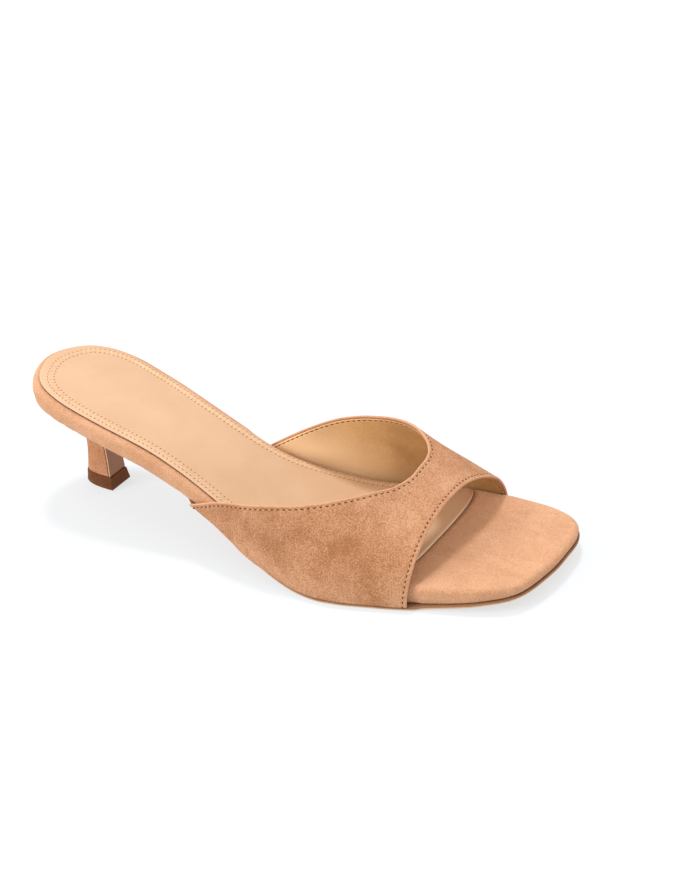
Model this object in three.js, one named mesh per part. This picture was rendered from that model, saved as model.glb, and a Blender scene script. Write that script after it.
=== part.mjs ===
// A heeled mule for the right foot, in millimetres.
// While it is built, X runs from the back of the heel (0) to the toe, Y to the medial side
// and Z up from the floor. The finished group is moved so that its origin is the middle of
// its bounding box on the floor.
import * as THREE from 'three';

// Driving dimensions
const shoeLength = 240; // footbed, back of the heel to the front of the toe
const ballWidth = 88; // footbed, outermost lateral to outermost medial point
const heelHeight = 47; // underside of the seat above the floor, at the back
const toeSpring = 5.7; // underside of the outsole above the floor, at the toe
const instepHeight = 85.5; // crown of the last over the sole line at the rear of the vamp
const upperWall = 1.8; // suede and lining together
const footbedWall = 7.4; // height of the padded footbed's side at the ball
const footbedRoll = 2.4; // how far its rounded side rolls in at the top
const footbedTuck = 1.1; // how far its side draws in where the vamp passes
const outsoleThickness = 1.5;
const outsoleWaistInset = 4.5; // outsole edge inside the footbed's side at the waist
const sockThickness = 1.2;
const sockInset = 3.7; // sock edge inside the footbed's side
const sockLength = 190.3;
const sockEndRound = 8; // length over which the sock's front end is rounded
const seatInset = 2.2; // heel seat inside the footbed's side
const seatLength = 44.5; // back of the heel to the front edge of the heel seat
const columnTop = 25; // height at which the heel column starts to flare to the seat
const columnHalfWidth = 5.1;
const columnDepth = 14; // back to breast, without the breast cover
const columnBreast = 29.9; // front face of the column, from the back of the heel
const breastCover = 0.9;
const tipHeight = 6;
const tipLip = 0.45; // how far the tip stands out past the wrapped column
const tipFlare = 0.8; // how much wider the tip gets down to the floor
const clearance = 0.3; // gap between pieces that meet
const coverPlay = 0.15; // how far each side edge of the breast cover stays inside the breast

// Fullness of the rounded sections, where 2 is an ellipse
const lateralFullness = 1.81;
const medialFullness = 1.92;
const sockEndFullness = 3;
const columnFullness = 2.3;

// Outline of the footbed, as shares of shoeLength and ballWidth
const outlineRows = [
  { along: 0.0, lateral: 0.012, medial: 0.012 },
  { along: 0.017, lateral: -0.15, medial: 0.168 },
  { along: 0.054, lateral: -0.256, medial: 0.271 },
  { along: 0.117, lateral: -0.311, medial: 0.315 },
  { along: 0.208, lateral: -0.33, medial: 0.29 },
  { along: 0.329, lateral: -0.333, medial: 0.24 },
  { along: 0.45, lateral: -0.365, medial: 0.243 },
  { along: 0.567, lateral: -0.431, medial: 0.358 },
  { along: 0.671, lateral: -0.457, medial: 0.47 },
  { along: 0.771, lateral: -0.392, medial: 0.54 },
  { along: 0.858, lateral: -0.315, medial: 0.54 },
  { along: 0.929, lateral: -0.245, medial: 0.511 },
  { along: 0.977, lateral: -0.145, medial: 0.442 },
  { along: 0.997, lateral: 0.045, medial: 0.338 },
  { along: 1.0, lateral: 0.2, medial: 0.2 },
];

// Long profile, against shares of shoeLength: rise is a share of heelHeight, spring of
// toeSpring, wall of footbedWall, tuck of footbedTuck, and reach takes the outsole's edge
// from the waist inset (0) to the outer face of the vamp (1)
const profileRows = [
  { along: 0.0, rise: 1.0, spring: 0, wall: 1.28, tuck: 0, reach: 0 },
  { along: 0.063, rise: 0.949, spring: 0, wall: 1.1, tuck: 0, reach: 0 },
  { along: 0.125, rise: 0.887, spring: 0, wall: 0.98, tuck: 0, reach: 0 },
  { along: 0.208, rise: 0.786, spring: 0, wall: 0.94, tuck: 0, reach: 0 },
  { along: 0.292, rise: 0.666, spring: 0, wall: 0.94, tuck: 0, reach: 0 },
  { along: 0.375, rise: 0.508, spring: 0, wall: 0.92, tuck: 0.2, reach: 0.45 },
  { along: 0.404, rise: 0.44, spring: 0, wall: 0.93, tuck: 0.8, reach: 0.97 },
  { along: 0.458, rise: 0.31, spring: 0, wall: 0.95, tuck: 1, reach: 1 },
  { along: 0.5, rise: 0.213, spring: 0, wall: 0.97, tuck: 1, reach: 1 },
  { along: 0.542, rise: 0.131, spring: 0, wall: 0.98, tuck: 1, reach: 1 },
  { along: 0.583, rise: 0.062, spring: 0, wall: 1, tuck: 1, reach: 1 },
  { along: 0.625, rise: 0.017, spring: 0, wall: 1, tuck: 1, reach: 1 },
  { along: 0.675, rise: 0, spring: 0, wall: 1, tuck: 1, reach: 1 },
  { along: 0.783, rise: 0, spring: 0, wall: 1, tuck: 0.9, reach: 1 },
  { along: 0.82, rise: 0, spring: 0.055, wall: 0.97, tuck: 0.9, reach: 1 },
  { along: 0.84, rise: 0, spring: 0.115, wall: 0.94, tuck: 0.12, reach: 0.86 },
  { along: 0.875, rise: 0, spring: 0.235, wall: 0.86, tuck: 0, reach: 0.81 },
  { along: 0.95, rise: 0, spring: 0.657, wall: 0.65, tuck: 0, reach: 0.8 },
  { along: 1.0, rise: 0, spring: 1, wall: 0.47, tuck: 0, reach: 0.8 },
];

// Side of the footbed from bottom to top: in is a share of footbedRoll, up of its height
const footbedSideRows = [
  { in: 0.5, up: 0 },
  { in: 0.1, up: 0.2 },
  { in: 0, up: 0.46 },
  { in: 0.14, up: 0.74 },
  { in: 0.42, up: 0.91 },
  { in: 1, up: 1 },
];

// Crown of the last under the vamp: height is a share of instepHeight over the sole line,
// across a share of ballWidth
const crownRows = [
  { along: 0.36, height: 1.08, across: -0.03 },
  { along: 0.417, height: 1, across: 0.05 },
  { along: 0.542, height: 0.833, across: 0.203 },
  { along: 0.646, height: 0.623, across: 0.252 },
  { along: 0.75, height: 0.445, across: 0.225 },
  { along: 0.875, height: 0.264, across: 0.108 },
];

// Rear and front edges of the vamp, as shares of shoeLength, against the share of the way
// round the section from the lateral to the medial sole line
const toplineRows = [
  { around: 0, along: 0.397 },
  { around: 0.06, along: 0.46 },
  { around: 0.14, along: 0.559 },
  { around: 0.24, along: 0.661 },
  { around: 0.3, along: 0.709 },
  { around: 0.36, along: 0.743 },
  { around: 0.41, along: 0.7525 },
  { around: 0.46, along: 0.753 },
  { around: 0.51, along: 0.7457 },
  { around: 0.56, along: 0.732 },
  { around: 0.62, along: 0.706 },
  { around: 0.68, along: 0.672 },
  { around: 0.8, along: 0.585 },
  { around: 0.92, along: 0.478 },
  { around: 1, along: 0.406 },
];
const frontEdgeRows = [
  { around: 0, along: 0.817 },
  { around: 0.32, along: 0.8165 },
  { around: 0.5, along: 0.823 },
  { around: 0.7, along: 0.831 },
  { around: 1, along: 0.829 },
];

// Heel column, as shares of the room from the tip to columnTop and of the column's sizes
const columnRows = [
  { up: 0, width: 1.04, depth: 1.03 },
  { up: 0.35, width: 0.98, depth: 0.95 },
  { up: 0.7, width: 1, depth: 0.89 },
  { up: 1, width: 1.1, depth: 0.88 },
];

// Cup of the heel, from the column (0) to the seat (1): up is the share of the way to the
// seat's underside, out the share of the way to the seat's outline
const cupRows = [
  { up: 0.22, out: 0.06 },
  { up: 0.42, out: 0.17 },
  { up: 0.6, out: 0.33 },
  { up: 0.76, out: 0.55 },
  { up: 0.9, out: 0.8 },
  { up: 1, out: 1 },
];

// Mesh densities
const stepsPerRow = 3;
const capStrips = 6;
const vampColumns = 48;
const vampBands = 12;
const roundSteps = 14;
const breastSteps = 3;
const searchSteps = 40;

// Colours, roughness
const suede = { color: 0xc8906c, roughness: 0.95 };
const suedeFootbed = { color: 0xdca47f, roughness: 0.95 };
const sockLeather = { color: 0xeec39c, roughness: 0.55 };
const outsoleLeather = { color: 0xb98a62, roughness: 0.6 };
const coverLeather = { color: 0xb08361, roughness: 0.5 };
const tipRubber = { color: 0x6d4433, roughness: 0.6 };

const mix = (a, b, share) => a + (b - a) * share;

// Smooth curve through a table's rows that never overshoots between two rows
function through(rows, key, column) {
  const x = rows.map((row) => row[key]);
  const y = rows.map((row) => row[column]);
  const last = rows.length - 1;
  const rate = x.slice(1).map((end, i) => (y[i + 1] - y[i]) / (end - x[i]));
  const slope = y.map((_, i) => {
    if (i === 0) return rate[0];
    if (i === last) return rate[last - 1];
    const [before, after] = [rate[i - 1], rate[i]];
    return before * after <= 0 ? 0 : (2 * before * after) / (before + after);
  });
  return (at) => {
    const place = Math.min(Math.max(at, x[0]), x[last]);
    let i = 0;
    while (i < last - 1 && place > x[i + 1]) i += 1;
    const width = x[i + 1] - x[i];
    const t = (place - x[i]) / width;
    const blend = t * t * (3 - 2 * t);
    const startBend = t * (1 - t) * (1 - t) * width;
    const endBend = t * t * (1 - t) * width;
    return mix(y[i], y[i + 1], blend) + slope[i] * startBend - slope[i + 1] * endBend;
  };
}

// Closed outline: heel, lateral side, toe, medial side
const lastRow = outlineRows.length - 1;
const outlineLoop = [
  ...outlineRows.map((row) => [row.along, row.lateral]),
  ...outlineRows.slice(1, lastRow).reverse().map((row) => [row.along, row.medial]),
].map(([along, across]) => new THREE.Vector2(along * shoeLength, across * ballWidth));

function outlinePoint(place, inset = 0) {
  const count = outlineLoop.length;
  const start = Math.floor(place);
  const t = place - start;
  const [a, b, c, d] = [-1, 0, 1, 2].map((step) => outlineLoop[(start + step + count) % count]);
  const curve = (p, q, r, s) =>
    0.5 * (2 * q + (r - p) * t + (2 * p - 5 * q + 4 * r - s) * t * t + (3 * q - p - 3 * r + s) * t ** 3);
  const slope = (p, q, r, s) =>
    0.5 * (r - p + 2 * (2 * p - 5 * q + 4 * r - s) * t + 3 * (3 * q - p - 3 * r + s) * t * t);
  const [tangentX, tangentY] = [slope(a.x, b.x, c.x, d.x), slope(a.y, b.y, c.y, d.y)];
  const size = Math.hypot(tangentX, tangentY);
  return new THREE.Vector2(
    curve(a.x, b.x, c.x, d.x) - (inset * tangentY) / size,
    curve(a.y, b.y, c.y, d.y) + (inset * tangentX) / size,
  );
}

// Place on the outline, 0 at the heel and lastRow at the toe, where its x is along
function placeAt(along) {
  let [low, high] = [0, lastRow];
  for (let i = 0; i < searchSteps; i += 1) {
    const middle = (low + high) / 2;
    if (outlinePoint(middle).x < along) low = middle;
    else high = middle;
  }
  return (low + high) / 2;
}
const loopLength = outlineLoop.length;
const lateralAt = (along) => outlinePoint(placeAt(along)).y;
const medialAt = (along) => outlinePoint(loopLength - placeAt(along)).y;

// Heights along the shoe
const profile = (column) => {
  const curve = through(profileRows, 'along', column);
  return (x) => curve(x / shoeLength);
};
const [rise, spring, wall, tuck, reach] = ['rise', 'spring', 'wall', 'tuck', 'reach'].map(profile);
const outsoleUnder = (x) => heelHeight * rise(x) + toeSpring * spring(x);
const outsoleTop = (x) => outsoleUnder(x) + outsoleThickness;
const footbedUnder = (x) => outsoleTop(x) + clearance;
const footbedTop = (x) => footbedUnder(x) + footbedWall * wall(x);

// Closed body from matching rings of points, its first ring capped as a floor and its last
// as a lid. A ring's point i faces its point count - i, and a cap's strips run between the two.
function ringBody(rings, floorHeight, lidHeight, strips = capStrips) {
  const positions = [];
  const indices = [];
  const add = (x, y, z) => positions.push(x, y, z) / 3 - 1;
  const ids = rings.map((ring) => ring.map((p) => add(p.x, p.y, p.z)));
  const count = rings[0].length;
  const quad = (a, b, c, d) => {
    if (a !== b && b !== c && c !== a) indices.push(a, b, c);
    if (a !== c && c !== d && d !== a) indices.push(a, c, d);
  };
  for (let k = 0; k < ids.length - 1; k += 1) {
    for (let i = 0; i < count; i += 1) {
      const next = (i + 1) % count;
      quad(ids[k][i], ids[k][next], ids[k + 1][next], ids[k + 1][i]);
    }
  }
  const cap = (ring, ringIds, height, isLid) => {
    const lines = [];
    for (let i = 0; i <= count / 2; i += 1) {
      const facing = (count - i) % count;
      const line = [ringIds[i]];
      for (let k = 1; k < strips && facing !== i; k += 1) {
        const x = mix(ring[i].x, ring[facing].x, k / strips);
        const y = mix(ring[i].y, ring[facing].y, k / strips);
        line.push(add(x, y, height(x, y)));
      }
      line.push(ringIds[facing]);
      lines.push(line.length === strips + 1 ? line : Array(strips + 1).fill(ringIds[i]));
    }
    for (let i = 0; i < lines.length - 1; i += 1) {
      for (let k = 0; k < strips; k += 1) {
        const [a, b, c, d] = [lines[i][k], lines[i + 1][k], lines[i + 1][k + 1], lines[i][k + 1]];
        if (isLid) quad(a, b, c, d);
        else quad(d, c, b, a);
      }
    }
  };
  cap(rings[0], ids[0], floorHeight, false);
  cap(rings[rings.length - 1], ids[ids.length - 1], lidHeight, true);
  return bodyGeometry(positions, indices);
}

// Closed wall between an outer and an inner grid of points
function wallBody(outer, inner) {
  const positions = [];
  const indices = [];
  const add = (p) => positions.push(p.x, p.y, p.z) / 3 - 1;
  const [front, back] = [outer, inner].map((grid) => grid.map((line) => line.map(add)));
  const quad = (a, b, c, d) => indices.push(a, b, c, a, c, d);
  const rows = front.length - 1;
  const columns = front[0].length - 1;
  for (let i = 0; i < rows; i += 1) {
    for (let k = 0; k < columns; k += 1) {
      quad(front[i][k], front[i + 1][k], front[i + 1][k + 1], front[i][k + 1]);
      quad(back[i][k], back[i][k + 1], back[i + 1][k + 1], back[i + 1][k]);
    }
    quad(front[i][0], back[i][0], back[i + 1][0], front[i + 1][0]);
    quad(front[i][columns], front[i + 1][columns], back[i + 1][columns], back[i][columns]);
  }
  for (let k = 0; k < columns; k += 1) {
    quad(front[0][k], front[0][k + 1], back[0][k + 1], back[0][k]);
    quad(front[rows][k], back[rows][k], back[rows][k + 1], front[rows][k + 1]);
  }
  return bodyGeometry(positions, indices);
}

function bodyGeometry(positions, indices) {
  const geometry = new THREE.BufferGeometry();
  geometry.setAttribute('position', new THREE.Float32BufferAttribute(positions, 3));
  geometry.setIndex(indices);
  geometry.computeVertexNormals();
  return geometry;
}

const at = (point, z) => new THREE.Vector3(point.x, point.y, z);

// Places round the whole outline, in equal steps of its rows
const allPlaces = Array.from({ length: loopLength * stepsPerRow }, (_, i) => i / stepsPerRow);

// Padded footbed with a rounded side
function footbed() {
  const rings = footbedSideRows.map((row) =>
    allPlaces.map((place) => {
      const edge = outlinePoint(place);
      const point = outlinePoint(place, footbedRoll * row.in + footbedTuck * tuck(edge.x));
      return at(point, mix(footbedUnder(point.x), footbedTop(point.x), row.up));
    }),
  );
  return ringBody(rings, footbedUnder, footbedTop);
}

// Outsole from the heel breast to the toe, closing the vamp from below
function outsole() {
  const start = placeAt(seatLength + clearance);
  const laterPlaces = allPlaces.filter((place) => {
    const fromHeel = Math.min(place, loopLength - place);
    return fromHeel > start + 1 / (2 * stepsPerRow);
  });
  const vampFace = clearance + upperWall;
  const edgeInset = (x) => mix(outsoleWaistInset, 2 * clearance - vampFace, reach(x));
  const edge = [start, ...laterPlaces, loopLength - start].map((place) =>
    outlinePoint(place, edgeInset(outlinePoint(place).x)),
  );
  const [lateral, medial] = [edge[0], edge[edge.length - 1]];
  lateral.setX(seatLength + clearance);
  medial.setX(seatLength + clearance);
  const rear = [];
  for (let i = 0; i < breastSteps * 2; i += 1) {
    rear.push(medial.clone().lerp(lateral, i / (breastSteps * 2)));
  }
  const loop = [...rear.slice(breastSteps), ...edge.slice(0, -1), ...rear.slice(0, breastSteps)];
  const ring = (height) => loop.map((point) => at(point, height(point.x)));
  return ringBody([ring(outsoleUnder), ring(outsoleTop)], outsoleUnder, outsoleTop);
}

// Sock that covers the footbed from the heel to its round end under the vamp
function sock() {
  const roundStart = sockLength - sockEndRound;
  const lastPlace = placeAt(roundStart);
  const sidePlaces = allPlaces.filter((place) => place < lastPlace - 1 / (2 * stepsPerRow));
  const side = (place, medial) => outlinePoint(medial ? loopLength - place : place, sockInset);
  const lateralSide = [...sidePlaces, lastPlace].map((place) => side(place, false));
  const medialSide = [...sidePlaces, lastPlace].map((place) => side(place, true));
  const [lateral, medial] = [lateralSide.at(-1), medialSide.at(-1)];
  const middle = (lateral.y + medial.y) / 2;
  const half = (medial.y - lateral.y) / 2;
  const end = [];
  for (let i = 1; i < 2 * roundSteps; i += 1) {
    const angle = (i / (2 * roundSteps)) * Math.PI;
    const swing = Math.abs(Math.cos(angle)) ** (2 / sockEndFullness) * Math.sign(Math.cos(angle));
    const reachOut = Math.sin(angle) ** (2 / sockEndFullness);
    end.push(new THREE.Vector2(mix(lateral.x, sockLength, reachOut), middle - half * swing));
  }
  const loop = [...lateralSide, ...end, ...medialSide.slice(1).reverse()];
  const under = (x) => footbedTop(x) + clearance;
  const over = (x) => under(x) + sockThickness;
  const ring = (height) => loop.map((point) => at(point, height(point.x)));
  return ringBody([ring(under), ring(over)], under, over);
}

// Point on the outer face of the vamp, around being the share of the way from the lateral to
// the medial sole line
const crownHeight = through(crownRows, 'along', 'height');
const crownAcross = through(crownRows, 'along', 'across');
function vampPoint(x, around) {
  const face = clearance + upperWall;
  const base = footbedUnder(x);
  const crown = crownAcross(x / shoeLength) * ballWidth;
  const side = around < 0.5 ? lateralAt(x) - face : medialAt(x) + face;
  const fullness = around < 0.5 ? lateralFullness : medialFullness;
  const angle = Math.PI * around;
  const out = Math.abs(Math.cos(angle)) ** (2 / fullness);
  const up = Math.sin(angle) ** (2 / fullness);
  const height = instepHeight * crownHeight(x / shoeLength);
  return new THREE.Vector3(x, mix(crown, side, out), base + height * up);
}

// Vamp band: one hollow wall, open at the collar, at the toe and underneath
const toplineAt = through(toplineRows, 'around', 'along');
const frontEdgeAt = through(frontEdgeRows, 'around', 'along');
function vamp() {
  const probe = 0.002;
  const outer = [];
  const inner = [];
  for (let band = 0; band <= vampBands; band += 1) {
    const outerLine = [];
    const innerLine = [];
    for (let column = 0; column <= vampColumns; column += 1) {
      const around = column / vampColumns;
      const share = band / vampBands;
      const x = shoeLength * mix(toplineAt(around), frontEdgeAt(around), share);
      const point = vampPoint(x, around);
      const [low, high] = [Math.max(around - probe, 0), Math.min(around + probe, 1)];
      const acrossway = vampPoint(x, high).sub(vampPoint(x, low));
      const longway = vampPoint(x + 1, around).sub(vampPoint(x - 1, around));
      const outward = acrossway.cross(longway).normalize().negate();
      if (column === 0 || column === vampColumns) outward.setX(0).setZ(0).normalize();
      outerLine.push(point);
      innerLine.push(point.clone().addScaledVector(outward, -upperWall));
    }
    outer.push(outerLine);
    inner.push(innerLine);
  }
  return wallBody(outer, inner);
}

// Flat-fronted ring of the heel column, from the middle of the breast round by the back
function columnRing(breast, halfWidth, depth) {
  const ring = [];
  for (let i = 0; i < breastSteps; i += 1) {
    ring.push(new THREE.Vector2(breast, (-halfWidth * i) / breastSteps));
  }
  for (let i = 0; i <= 2 * roundSteps; i += 1) {
    const angle = (i / (2 * roundSteps)) * Math.PI;
    const swing = Math.abs(Math.cos(angle)) ** (2 / columnFullness) * Math.sign(Math.cos(angle));
    const back = Math.sin(angle) ** (2 / columnFullness);
    ring.push(new THREE.Vector2(breast - depth * back, -halfWidth * swing));
  }
  for (let i = breastSteps - 1; i > 0; i -= 1) {
    ring.push(new THREE.Vector2(breast, (halfWidth * i) / breastSteps));
  }
  return ring.reverse();
}

// Outline of the heel seat under the footbed, with the same order of points
function seatRing() {
  const breastPlace = placeAt(seatLength);
  const lateral = outlinePoint(breastPlace, seatInset).setX(seatLength);
  const medial = outlinePoint(loopLength - breastPlace, seatInset).setX(seatLength);
  const middle = lateral.clone().lerp(medial, 0.5);
  const ring = [];
  for (let i = 0; i < breastSteps; i += 1) ring.push(middle.clone().lerp(lateral, i / breastSteps));
  ring.push(lateral);
  for (let i = 1; i <= roundSteps; i += 1) {
    ring.push(outlinePoint(breastPlace * (1 - i / roundSteps), seatInset));
  }
  for (let i = 1; i < roundSteps; i += 1) {
    ring.push(outlinePoint(loopLength - (breastPlace * i) / roundSteps, seatInset));
  }
  ring.push(medial);
  for (let i = breastSteps - 1; i > 0; i -= 1) ring.push(middle.clone().lerp(medial, i / breastSteps));
  return ring.reverse();
}

// Rings of the wrapped heel from the tip to the seat
const seatUnder = (x) => footbedUnder(x) - clearance;
function heelRings() {
  const foot = tipHeight + clearance;
  const rings = columnRows.map((row) => {
    const ring = columnRing(columnBreast, columnHalfWidth * row.width, columnDepth * row.depth);
    return ring.map((point) => at(point, mix(foot, columnTop, row.up)));
  });
  const top = rings[rings.length - 1];
  const seat = seatRing();
  const middleHeight = seatUnder((seatLength + seatInset) / 2);
  cupRows.forEach((row) => {
    rings.push(
      seat.map((point, i) => {
        const height = mix(middleHeight, seatUnder(point.x), row.out);
        const x = mix(top[i].x, point.x, row.out);
        const y = mix(top[i].y, point.y, row.out);
        return new THREE.Vector3(x, y, mix(columnTop, height, row.up));
      }),
    );
  });
  return rings;
}

function heel() {
  const foot = tipHeight + clearance;
  return ringBody(heelRings(), () => foot, seatUnder);
}

// Smooth cover on the flat front of the heel, from the tip up and forward to the rear end of
// the outsole, which its own front end faces
function heelBreastCover() {
  const rings = heelRings();
  const last = rings.length - 1;
  const middle = rings.map((ring) => ring.at(-1));
  const shifted = (gap) =>
    rings.map((ring, k) => {
      const forward = middle[Math.min(k + 1, last)].x - middle[Math.max(k - 1, 0)].x;
      const upward = middle[Math.min(k + 1, last)].z - middle[Math.max(k - 1, 0)].z;
      const normal = k < last ? new THREE.Vector3(upward, 0, -forward) : new THREE.Vector3(0, 0, -1);
      normal.normalize();
      const line = [];
      for (let i = breastSteps; i >= -breastSteps; i -= 1) {
        const point = ring.at(i - 1);
        const side = Math.sign(point.y) * Math.min(Math.abs(point.y), coverPlay);
        line.push(point.clone().addScaledVector(normal, gap).setY(point.y - side));
      }
      return line;
    });
  return wallBody(shifted(clearance + breastCover), shifted(clearance));
}

// Rubber tip under the column and its cover, flaring to the floor
function heelTip() {
  const coverRoom = clearance + breastCover;
  const ringAt = (margin, z) => {
    const ring = columnRing(
      columnBreast + coverRoom + margin,
      columnHalfWidth * columnRows[0].width + margin,
      columnDepth * columnRows[0].depth + coverRoom + 2 * margin,
    );
    return ring.map((point) => at(point, z));
  };
  const rings = [ringAt(tipLip + tipFlare, 0), ringAt(tipLip, tipHeight)];
  return ringBody(rings, () => 0, () => tipHeight, 2);
}

const pieces = [
  ['outsole', outsole(), outsoleLeather],
  ['footbed', footbed(), suedeFootbed],
  ['sock', sock(), sockLeather],
  ['upper', vamp(), suede],
  ['heel', heel(), suede],
  ['heel_breast_cover', heelBreastCover(), coverLeather],
  ['heel_tip', heelTip(), tipRubber],
];

const shoe = new THREE.Group();
pieces.forEach(([name, geometry, finish]) => {
  const mesh = new THREE.Mesh(geometry, new THREE.MeshStandardMaterial({ ...finish, metalness: 0 }));
  mesh.name = name;
  shoe.add(mesh);
});

// The origin is the middle of the bounding box, on the floor
const bounds = new THREE.Box3().setFromObject(shoe);
const centre = bounds.getCenter(new THREE.Vector3());
shoe.position.set(-centre.x, -centre.y, -bounds.min.z);

export default shoe;
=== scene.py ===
import bmesh
import bpy
import numpy as np
from mathutils import Matrix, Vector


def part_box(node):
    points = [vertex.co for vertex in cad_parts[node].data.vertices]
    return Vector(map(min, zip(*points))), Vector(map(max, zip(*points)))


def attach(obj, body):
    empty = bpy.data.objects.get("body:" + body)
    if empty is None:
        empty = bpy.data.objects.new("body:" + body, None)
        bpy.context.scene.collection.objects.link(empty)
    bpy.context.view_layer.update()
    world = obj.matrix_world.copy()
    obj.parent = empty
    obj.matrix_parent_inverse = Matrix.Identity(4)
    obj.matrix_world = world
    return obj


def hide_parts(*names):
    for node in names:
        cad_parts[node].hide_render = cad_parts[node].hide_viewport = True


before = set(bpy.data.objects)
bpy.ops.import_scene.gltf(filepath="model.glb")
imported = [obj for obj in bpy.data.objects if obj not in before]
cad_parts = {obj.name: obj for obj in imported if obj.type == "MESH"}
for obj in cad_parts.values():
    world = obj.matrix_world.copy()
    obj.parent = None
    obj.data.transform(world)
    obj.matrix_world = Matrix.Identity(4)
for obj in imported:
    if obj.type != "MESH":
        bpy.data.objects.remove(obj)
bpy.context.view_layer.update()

# Everything is worked out in millimetres in the shoe's own frame, X from the back of the heel
# to the toe, Y to the medial side, Z up, and goes into the frame's metres when a mesh is made.
MM = 0.001
SHOE_LENGTH = 240
BALL_WIDTH = 88
HEEL_HEIGHT = 47
TOE_SPRING = 5.7
INSTEP_HEIGHT = 85.5
UPPER_WALL = 1.8
SUEDE_WALL = 1.15
FOOTBED_WALL = 7.4
FOOTBED_TUCK = 1.1
OUTSOLE_THICKNESS = 1.5
OUTSOLE_WAIST_INSET = 4.5
SOCK_THICKNESS = 1.2
SOCK_INSET = 3.7
SOCK_LENGTH = 190.3
SOCK_END_ROUND = 8
SEAT_INSET = 2.2
SEAT_LENGTH = 44.5
COLUMN_TOP = 25
COLUMN_HALF_WIDTH = 5.1
COLUMN_DEPTH = 14
COLUMN_BREAST = 29.9
BREAST_COVER = 0.9
TIP_HEIGHT = 6
TIP_LIP = 0.45
TIP_FLARE = 0.8
GAP = 0.3
LATERAL_FULLNESS = 1.81
MEDIAL_FULLNESS = 1.92
SOCK_END_FULLNESS = 3
COLUMN_FULLNESS = 2.3


def table(columns, rows):
    """Named columns from rows of numbers."""
    return dict(zip(columns.split(), np.array(rows, float).T))


def each_row(rows):
    """Rows of a table one by one, each by its columns' names."""
    return [dict(zip(rows, values)) for values in zip(*rows.values())]


# Outline of the footbed, in shares of the shoe's length and ball width
OUTLINE = table("along lateral medial", [
    (0.0, 0.012, 0.012), (0.017, -0.15, 0.168), (0.054, -0.256, 0.271),
    (0.117, -0.311, 0.315), (0.208, -0.33, 0.29), (0.329, -0.333, 0.24),
    (0.45, -0.365, 0.243), (0.567, -0.431, 0.358), (0.671, -0.457, 0.47),
    (0.771, -0.392, 0.54), (0.858, -0.315, 0.54), (0.929, -0.245, 0.511),
    (0.977, -0.145, 0.442), (0.997, 0.045, 0.338), (1.0, 0.2, 0.2),
])

# Long profile: rise is a share of the heel height, spring of the toe spring, wall of the
# footbed's side, tuck of its tuck, and reach goes from the waist inset to the vamp's face
PROFILE = table("along rise spring wall tuck reach", [
    (0.0, 1.0, 0, 1.28, 0, 0), (0.063, 0.949, 0, 1.1, 0, 0), (0.125, 0.887, 0, 0.98, 0, 0),
    (0.208, 0.786, 0, 0.94, 0, 0), (0.292, 0.666, 0, 0.94, 0, 0),
    (0.375, 0.508, 0, 0.92, 0.2, 0.45), (0.404, 0.44, 0, 0.93, 0.8, 0.97),
    (0.458, 0.31, 0, 0.95, 1, 1), (0.5, 0.213, 0, 0.97, 1, 1), (0.542, 0.131, 0, 0.98, 1, 1),
    (0.583, 0.062, 0, 1, 1, 1), (0.625, 0.017, 0, 1, 1, 1), (0.675, 0, 0, 1, 1, 1),
    (0.783, 0, 0, 1, 0.9, 1), (0.82, 0, 0.055, 0.97, 0.9, 1), (0.84, 0, 0.115, 0.94, 0.12, 0.86),
    (0.875, 0, 0.235, 0.86, 0, 0.81), (0.95, 0, 0.657, 0.65, 0, 0.8), (1.0, 0, 1, 0.47, 0, 0.8),
])

# Sides from bottom to top: inset in millimetres, up a share of the height, raw the share of
# pale raw leather that shows at the sock's edge
FOOTBED_SIDE = table("inset up", [
    (0.9, 0), (0.45, 0.05), (0.2, 0.16), (0.03, 0.32), (0, 0.46), (0.1, 0.6),
    (0.34, 0.74), (0.7, 0.85), (1.1, 0.92), (1.65, 0.98), (2.4, 1),
])
SOCK_SIDE = table("inset up raw", [
    (0.15, 0, 0), (0, 0.12, 0), (0, 0.36, 0), (0.08, 0.5, 1), (0.3, 0.64, 1), (0.7, 0.79, 0.2),
    (1.3, 0.92, 0), (2.2, 1, 0),
])
OUTSOLE_SIDE = table("inset up", [
    (0.5, 0), (0.15, 0.12), (0, 0.34), (0, 0.52), (0, 0.8), (0.12, 0.93), (0.4, 1),
])
OUTSOLE_TUCK = table("along tuck", [
    (0.3, 0), (0.4, 1.3), (0.52, 1.2), (0.6, 0.35), (0.68, 0), (1, 0),
])

# Crown of the last under the vamp, and the vamp's rear and front edges
CROWN = table("along height across", [
    (0.36, 1.08, -0.03), (0.417, 1, 0.05), (0.542, 0.833, 0.203),
    (0.646, 0.623, 0.252), (0.75, 0.445, 0.225), (0.875, 0.264, 0.108),
])
TOPLINE = table("around along", [
    (0, 0.397), (0.06, 0.46), (0.14, 0.559), (0.24, 0.661), (0.3, 0.709), (0.36, 0.743),
    (0.41, 0.7525), (0.46, 0.753), (0.51, 0.7457), (0.56, 0.732), (0.62, 0.706), (0.68, 0.672),
    (0.8, 0.585), (0.92, 0.478), (1, 0.406),
])
FRONT_EDGE = table("around along", [
    (0, 0.817), (0.32, 0.8165), (0.5, 0.823), (0.7, 0.831), (1, 0.829),
])

# Heel: column up to where it starts to flare, then its cup up to the seat
COLUMN = table("up width depth", [
    (0, 1.04, 1.03), (0.35, 0.98, 0.95), (0.7, 1, 0.89), (1, 1.1, 0.88),
])
CUP = table("up out", [
    (0, 0), (0.22, 0.06), (0.42, 0.17), (0.6, 0.33), (0.76, 0.55), (0.9, 0.8), (1, 1),
])

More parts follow.
